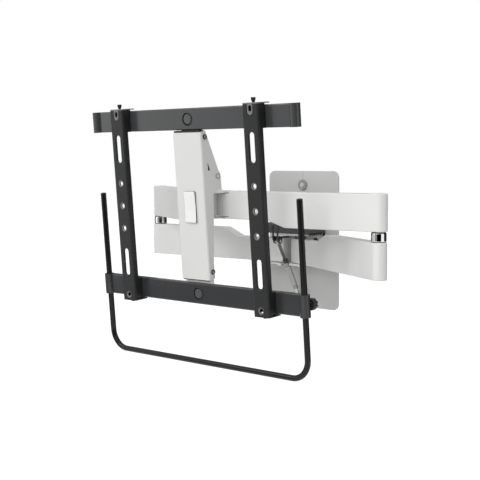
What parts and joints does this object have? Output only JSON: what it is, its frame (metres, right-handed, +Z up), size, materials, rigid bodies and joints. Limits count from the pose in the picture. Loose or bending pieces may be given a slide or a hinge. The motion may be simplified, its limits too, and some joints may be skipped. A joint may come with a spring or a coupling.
{
  "type": "tv wall mount",
  "caption": "Full-motion TV wall mount: white folding arm pairs on a wall plate carry a tilting column, dark bars, slotted strips and a U-shaped pull handle.",
  "frame": {"origin": "Centre of the wall plate's back face.", "axes": "X to the right, Y into the wall, Z up; the television side is towards -Y."},
  "size_m": [0.802, 0.3627, 0.565],
  "materials": {
    "white_paint": "satin white powder coat",
    "plate_paint": "satin light grey powder coat",
    "bar_paint": "satin dark grey powder coat",
    "strip_paint": "fine-textured charcoal powder coat",
    "hook_paint": "satin mid grey powder coat",
    "tube_paint": "semi-gloss black powder coat",
    "bright_ring": "polished chrome plate",
    "zinc_steel": "zinc-plated steel",
    "black_screw": "black oxide",
    "black_plastic": "moulded matt black",
    "white_plastic": "gloss white moulding",
    "grey_plastic": "satin grey moulding",
    "bush_plastic": "bearing plastic"
  },
  "bodies": {
    "wall": {"wall_plate": "plate_paint", "screw_cover": "grey_plastic", "wall_bracket": "white_paint", "bracket_bolts": "black_screw", "wall_pins": "zinc_steel", "bracket_hood": "black_plastic", "strut_foot": "plate_paint", "strut_clevis": "black_screw", "strut_pins": "zinc_steel", "strut_lower_eye": "zinc_steel", "strut_rod": "zinc_steel"},
    "strut_turnbuckle": {"strut_barrel": "zinc_steel", "strut_lock_nut": "black_screw"},
    "carriage": {"carriage": "white_paint", "carriage_pins": "zinc_steel", "tilt_bolts": "zinc_steel"},
    "head": {"column": "white_paint", "column_screws": "zinc_steel", "badge_tile": "white_plastic", "backbone": "bar_paint", "bar_bolts": "black_screw", "top_bar": "bar_paint", "bottom_bar": "bar_paint", "sleeve_plugs": "black_plastic", "disc_caps": "bar_paint"},
    "handle": {"handle_tube": "tube_paint", "handle_plugs": "black_plastic"},
    "right_lower_arm": {"right_lower_beam": "white_paint", "right_lower_cover": "white_plastic", "right_lower_bushes": "bush_plastic", "right_elbow_pin": "zinc_steel"},
    "right_elbow_ring": {"right_elbow_ring": "bright_ring"},
    "right_upper_arm": {"right_upper_beam": "white_paint", "right_upper_cover": "white_plastic", "right_upper_bushes": "bush_plastic", "right_elbow_cap": "white_plastic"},
    "right_strip": {"right_strip": "strip_paint", "right_hook": "hook_paint", "right_clip": "strip_paint", "right_clip_screw": "black_screw"},
    "right_thumb_screw": {"right_thumb_screw": "black_screw"},
    "right_clamp_knob": {"right_clamp_knob": "black_plastic"},
    "left_lower_arm": {"left_lower_beam": "white_paint", "left_lower_cover": "white_plastic", "left_lower_bushes": "bush_plastic", "left_elbow_pin": "zinc_steel"},
    "left_elbow_ring": {"left_elbow_ring": "bright_ring"},
    "left_upper_arm": {"left_upper_beam": "white_paint", "left_upper_cover": "white_plastic", "left_upper_bushes": "bush_plastic", "left_elbow_cap": "white_plastic"},
    "left_strip": {"left_strip": "strip_paint", "left_hook": "hook_paint", "left_clip": "strip_paint", "left_clip_screw": "black_screw"},
    "left_thumb_screw": {"left_thumb_screw": "black_screw"},
    "left_clamp_knob": {"left_clamp_knob": "black_plastic"}
  },
  "joints": [
    {"name": "right_arm_swing", "type": "hinge", "parent": "wall", "child": "right_lower_arm", "pos_m": [0.03, -0.048, -0.022], "axis": [0, 0, -1], "range_deg": [-25.2, 50]},
    {"name": "right_ring_turn", "type": "hinge", "parent": "right_lower_arm", "child": "right_elbow_ring", "pos_m": [0.36468, -0.21268, 0.034], "axis": [0, 0, -1], "range_deg": [-50, 25.2]},
    {"name": "left_arm_swing", "type": "hinge", "parent": "wall", "child": "left_lower_arm", "pos_m": [-0.03, -0.048, -0.022], "axis": [0, 0, 1], "range_deg": [-3.85, 60]},
    {"name": "right_elbow", "type": "hinge", "parent": "right_elbow_ring", "child": "right_upper_arm", "pos_m": [0.36468, -0.21268, 0.082], "axis": [0, 0, 1], "range_deg": [-3.85, 60]},
    {"name": "left_ring_turn", "type": "hinge", "parent": "left_lower_arm", "child": "left_elbow_ring", "pos_m": [-0.40166, -0.07954, 0.034], "axis": [0, 0, 1], "range_deg": [-60, 3.85]},
    {"name": "left_elbow", "type": "hinge", "parent": "left_elbow_ring", "child": "left_upper_arm", "pos_m": [-0.40166, -0.07954, 0.082], "axis": [0, 0, -1], "range_deg": [-25.2, 50]},
    {"name": "carriage_turn", "type": "hinge", "parent": "left_upper_arm", "child": "carriage", "pos_m": [-0.06699, -0.24422, 0.09], "axis": [0, 0, -1], "range_deg": [-50, 25.2]},
    {"name": "head_tilt", "type": "hinge", "parent": "carriage", "child": "head", "pos_m": [-0.03699, -0.29074, 0.15146], "axis": [1, 0, 0], "range_deg": [-4.4, 8]},
    {"name": "handle_slide", "type": "slide", "parent": "head", "child": "handle", "axis": [0, -0.0778, 0.997], "range_m": [-0.13, 0.07]},
    {"name": "strut_turn", "type": "hinge", "parent": "wall", "child": "strut_turnbuckle", "pos_m": [0, -0.019, -0.129], "axis": [0, -0.4899, 0.8718], "continuous": true},
    {"name": "right_strip_slide", "type": "slide", "parent": "head", "child": "right_strip", "axis": [1, 0, 0], "range_m": [-0.1, 0.06]},
    {"name": "right_thumb_turn", "type": "hinge", "parent": "right_strip", "child": "right_thumb_screw", "pos_m": [0.16301, -0.35101, 0.30172], "axis": [0, -0.0778, 0.997], "continuous": true},
    {"name": "right_knob_turn", "type": "hinge", "parent": "head", "child": "right_clamp_knob", "pos_m": [0.25701, -0.28669, -0.09849], "axis": [0, 0.997, 0.0778], "continuous": true},
    {"name": "left_strip_slide", "type": "slide", "parent": "head", "child": "left_strip", "axis": [-1, 0, 0], "range_m": [-0.1, 0.06]},
    {"name": "left_thumb_turn", "type": "hinge", "parent": "left_strip", "child": "left_thumb_screw", "pos_m": [-0.23699, -0.35101, 0.30172], "axis": [0, -0.0778, 0.997], "continuous": true},
    {"name": "left_knob_turn", "type": "hinge", "parent": "head", "child": "left_clamp_knob", "pos_m": [-0.33099, -0.28669, -0.09849], "axis": [0, 0.997, 0.0778], "continuous": true}
  ],
  "couplings": [
    {"joint": "right_ring_turn", "follows": "right_arm_swing", "ratio": -1},
    {"joint": "left_elbow", "follows": "right_arm_swing", "ratio": 1},
    {"joint": "carriage_turn", "follows": "right_arm_swing", "ratio": -1},
    {"joint": "left_ring_turn", "follows": "left_arm_swing", "ratio": -1},
    {"joint": "right_elbow", "follows": "left_arm_swing", "ratio": 1}
  ]
}
